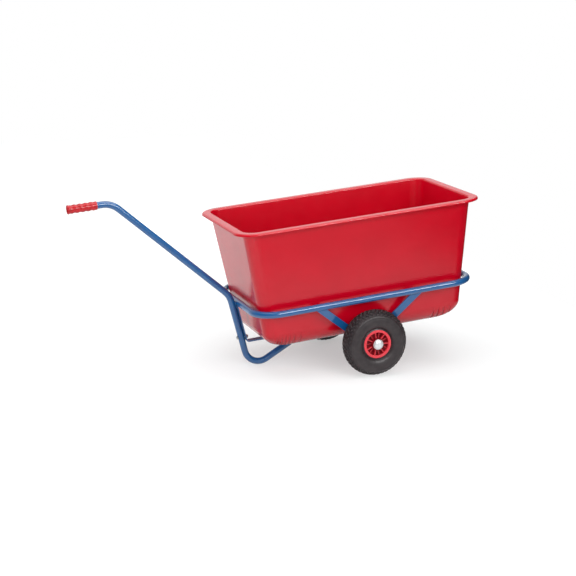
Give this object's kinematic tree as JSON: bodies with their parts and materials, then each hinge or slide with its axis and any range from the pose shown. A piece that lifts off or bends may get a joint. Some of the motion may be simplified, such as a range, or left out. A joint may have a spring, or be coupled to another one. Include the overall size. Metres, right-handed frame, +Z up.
{
  "type": "hand cart",
  "caption": "Two-wheeled hand cart: a deep lift-out plastic tub in a bent-tube frame with a central handle, foot loop and pneumatic wheels on one axle.",
  "frame": {"origin": "on the floor under the middle of the bounding box, with the cart parked on its two wheels and its foot loop", "axes": "+X towards the nose, away from the grip; +Y to the far side in the picture; +Z up"},
  "size_m": [1.5834, 0.6412, 0.6848],
  "materials": {
    "frame_paint": "glossy powder coat",
    "tub_plastic": "semi-gloss moulded",
    "grip_plastic": "semi-gloss moulded",
    "rim_plastic": "semi-gloss moulded",
    "tyre_rubber": "matte",
    "inner_tube_butyl": "matte",
    "black_plastic": "matte",
    "zinc_plate": "zinc plated",
    "bright_zinc": "bright",
    "bearing_steel": "ground",
    "valve_brass": "turned"
  },
  "bodies": {
    "frame": {"frame_ring": "frame_paint", "handle_tube": "frame_paint", "foot_plug": "black_plastic", "grip": "grip_plastic", "cradle_strap": "frame_paint", "leg_bolt": "zinc_plate", "leg_nut": "zinc_plate", "axle": "bearing_steel", "strut_rear_near": "frame_paint", "strut_front_near": "frame_paint", "spacer_near": "zinc_plate", "hub_washer_near": "zinc_plate", "hub_cap_near": "bright_zinc", "strut_rear_far": "frame_paint", "strut_front_far": "frame_paint", "spacer_far": "zinc_plate", "hub_washer_far": "zinc_plate", "hub_cap_far": "bright_zinc"},
    "wheel_near": {"tyre_near": "tyre_rubber", "inner_tube_near": "inner_tube_butyl", "rim_outer_near": "rim_plastic", "rim_inner_near": "rim_plastic", "bearing_cage_near": "black_plastic", "valve_stem_near": "valve_brass", "valve_cap_near": "black_plastic", "rim_screw_near_1": "zinc_plate", "rim_screw_near_2": "zinc_plate", "rim_screw_near_3": "zinc_plate", "rim_screw_near_4": "zinc_plate", "rim_screw_near_5": "zinc_plate", "roller_near_1": "bearing_steel", "roller_near_2": "bearing_steel", "roller_near_3": "bearing_steel", "roller_near_4": "bearing_steel", "roller_near_5": "bearing_steel", "roller_near_6": "bearing_steel"},
    "wheel_far": {"tyre_far": "tyre_rubber", "inner_tube_far": "inner_tube_butyl", "rim_outer_far": "rim_plastic", "rim_inner_far": "rim_plastic", "bearing_cage_far": "black_plastic", "valve_stem_far": "valve_brass", "valve_cap_far": "black_plastic", "rim_screw_far_1": "zinc_plate", "rim_screw_far_2": "zinc_plate", "rim_screw_far_3": "zinc_plate", "rim_screw_far_4": "zinc_plate", "rim_screw_far_5": "zinc_plate", "roller_far_1": "bearing_steel", "roller_far_2": "bearing_steel", "roller_far_3": "bearing_steel", "roller_far_4": "bearing_steel", "roller_far_5": "bearing_steel", "roller_far_6": "bearing_steel"},
    "tub": {"tub": "tub_plastic"}
  },
  "joints": [
    {"name": "wheel_near_spin", "type": "hinge", "parent": "frame", "child": "wheel_near", "pos_m": [0.34638, -0.27, 0.13], "axis": [0, 1, 0], "continuous": true},
    {"name": "wheel_far_spin", "type": "hinge", "parent": "frame", "child": "wheel_far", "pos_m": [0.34638, 0.27, 0.13], "axis": [0, 1, 0], "continuous": true},
    {"name": "tub_lift", "type": "slide", "parent": "frame", "child": "tub", "axis": [-0.1011, 0, 0.9949], "range_m": [0, 0.3]}
  ]
}
